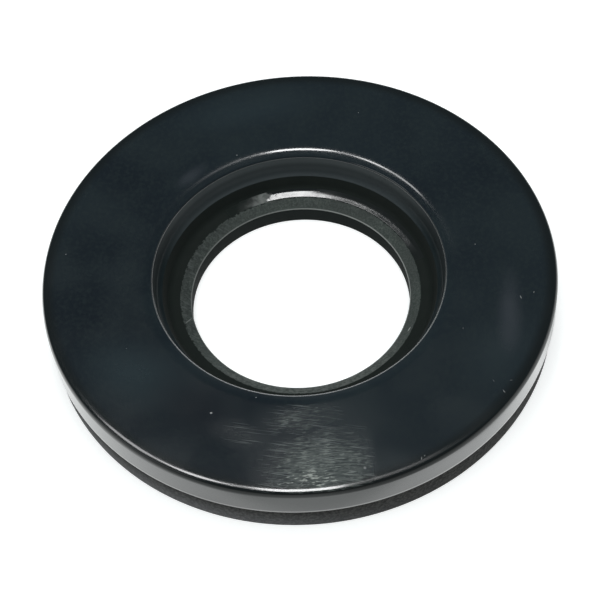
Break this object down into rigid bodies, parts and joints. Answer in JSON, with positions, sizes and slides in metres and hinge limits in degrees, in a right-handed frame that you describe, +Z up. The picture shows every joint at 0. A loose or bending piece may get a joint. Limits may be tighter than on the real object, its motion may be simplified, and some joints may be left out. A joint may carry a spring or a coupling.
{
  "type": "gasket",
  "caption": "Moulded rubber ring gasket with a smooth outer wall and, in its top face, a tapered recess stepping down to a central bore.",
  "frame": {"origin": "centre of the flat underside, on the bore's axis", "axes": "+Z up along the bore's axis, from the underside to the recessed top face; +X to the right and +Y away from the viewer"},
  "size_m": [0.08, 0.08, 0.01],
  "materials": {
    "rubber": "glossy black on the top face, the recess and the outer wall, dull and grainy on the foot band, the land and the underside"
  },
  "bodies": {
    "root": {"gasket": "rubber"}
  },
  "joints": []
}
